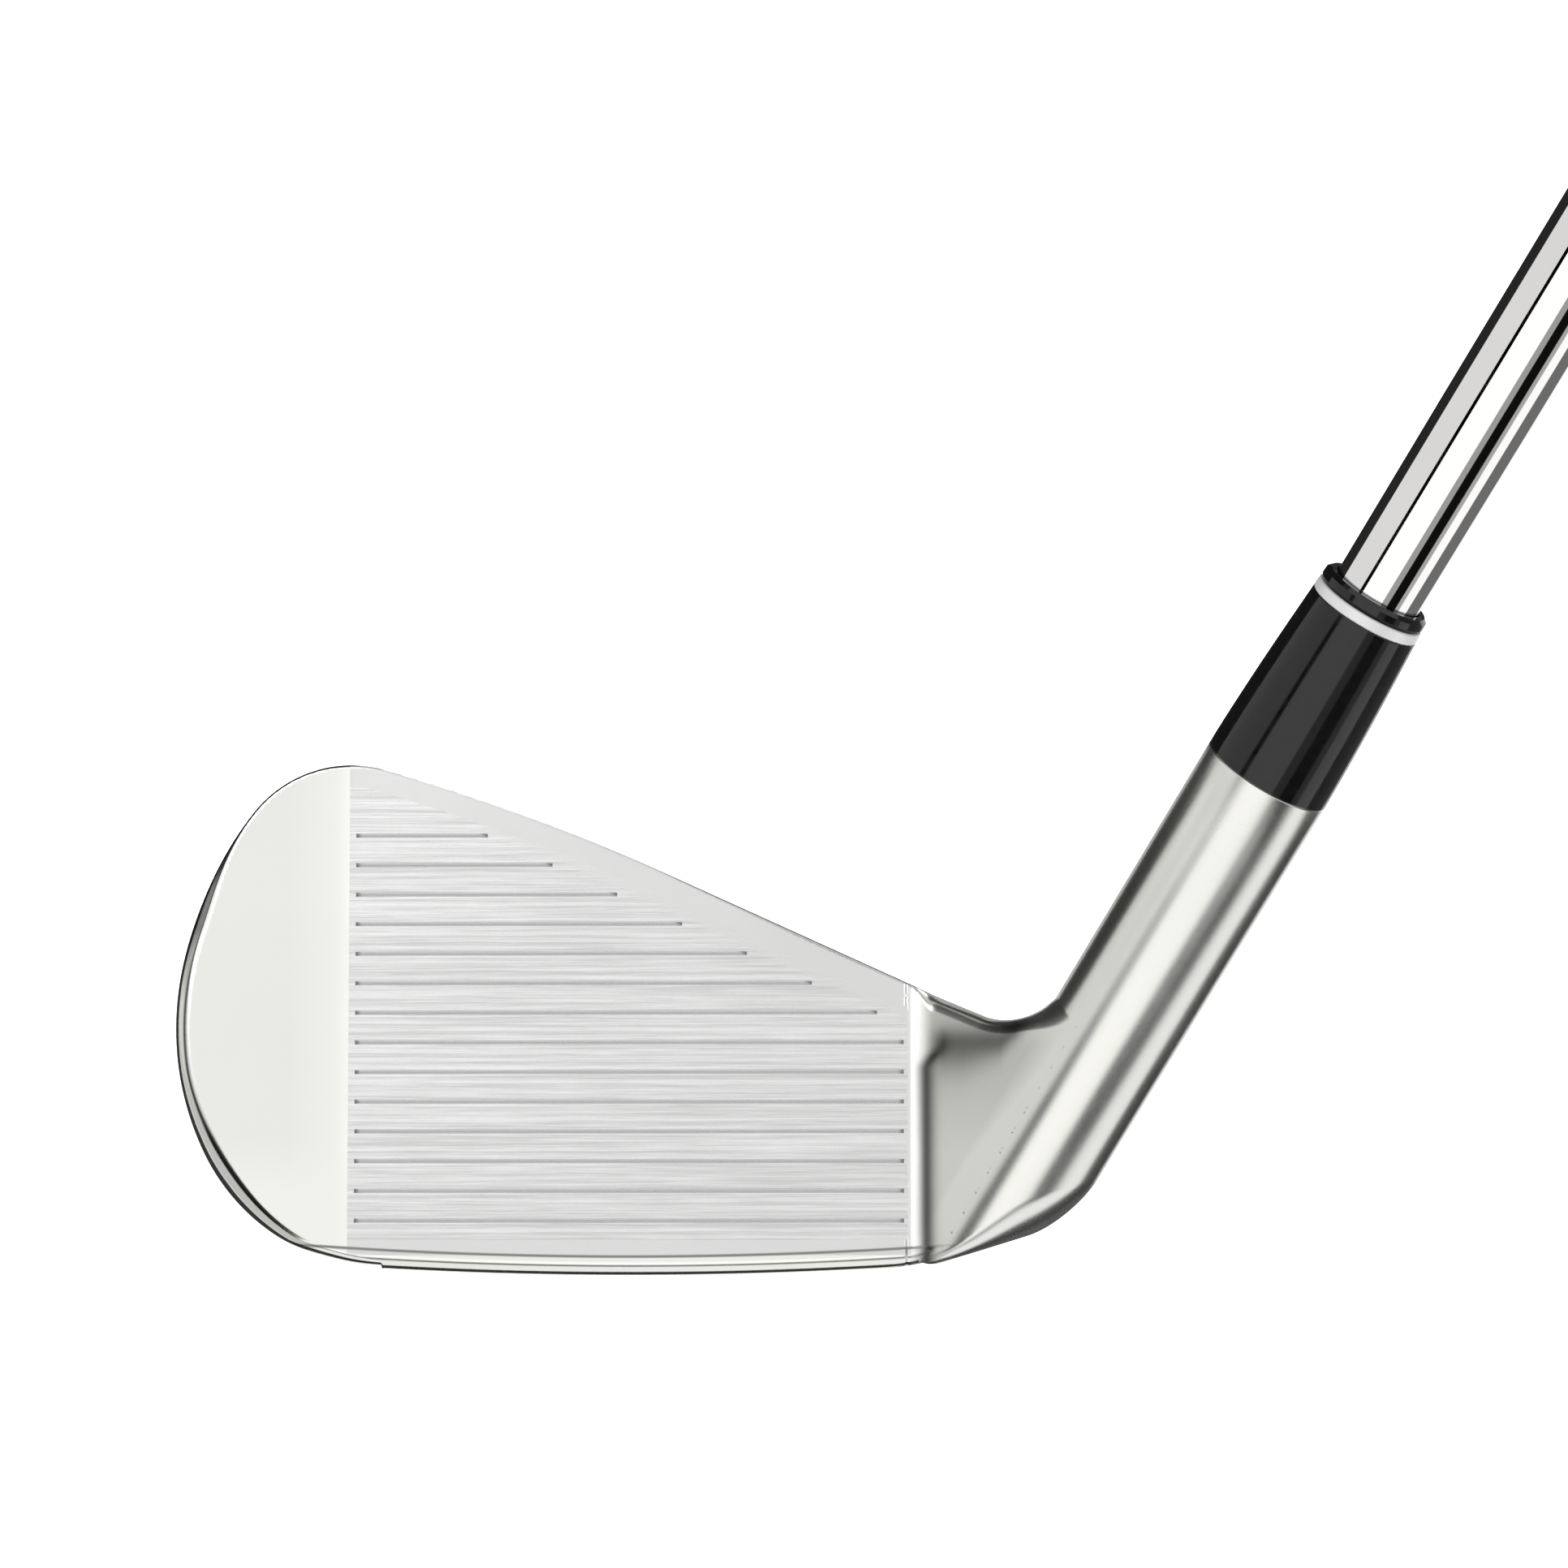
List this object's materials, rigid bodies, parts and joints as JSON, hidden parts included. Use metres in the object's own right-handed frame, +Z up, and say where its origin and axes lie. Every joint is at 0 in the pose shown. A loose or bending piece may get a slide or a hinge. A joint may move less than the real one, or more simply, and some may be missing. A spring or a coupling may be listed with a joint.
{
  "type": "iron golf club",
  "caption": "Right-handed cavity-back iron: lofted head with a welded face plate, ferrule, stepped chrome shaft and rubber grip.",
  "frame": {"origin": "where the sole touches the ground under the middle of the score lines, with the club at address", "axes": "+Z up from the ground, face looking towards -Y and up by the loft, toe towards -X, shaft rising towards +X at the lie angle"},
  "size_m": [0.5617, 0.0358, 0.8497],
  "materials": {
    "head_steel": "satin polished cast steel",
    "face_steel": "fine milled steel with cut score lines",
    "weight_tungsten": "turned tungsten alloy, dark satin",
    "damper_rubber": "moulded elastomer",
    "adhesive_foam": "black foam tape",
    "badge_alloy": "brushed aluminium",
    "inlay_polymer": "fine grained dark polymer",
    "tip_brass": "turned brass",
    "epoxy": "cured epoxy with glass beads",
    "ferrule_black": "turned and polished black plastic",
    "ferrule_silver": "bright trim ring",
    "shaft_chrome": "bright plated steel",
    "label_foil": "plain printed foil band",
    "tape_paper": "double-sided grip tape",
    "grip_rubber": "moulded natural rubber, textured"
  },
  "bodies": {
    "root": {"head_body": "head_steel", "face_plate": "face_steel", "toe_weight": "weight_tungsten", "badge_damper": "damper_rubber", "badge_tape": "adhesive_foam", "badge_plate": "badge_alloy", "badge_inlay": "inlay_polymer", "tip_weight": "tip_brass", "hosel_bond": "epoxy", "ferrule_sleeve": "ferrule_black", "ferrule_ring": "ferrule_silver", "ferrule_collar": "ferrule_black", "shaft": "shaft_chrome", "shaft_label": "label_foil", "grip_tape": "tape_paper", "grip_sleeve": "grip_rubber", "grip_cap": "grip_rubber"}
  },
  "joints": []
}
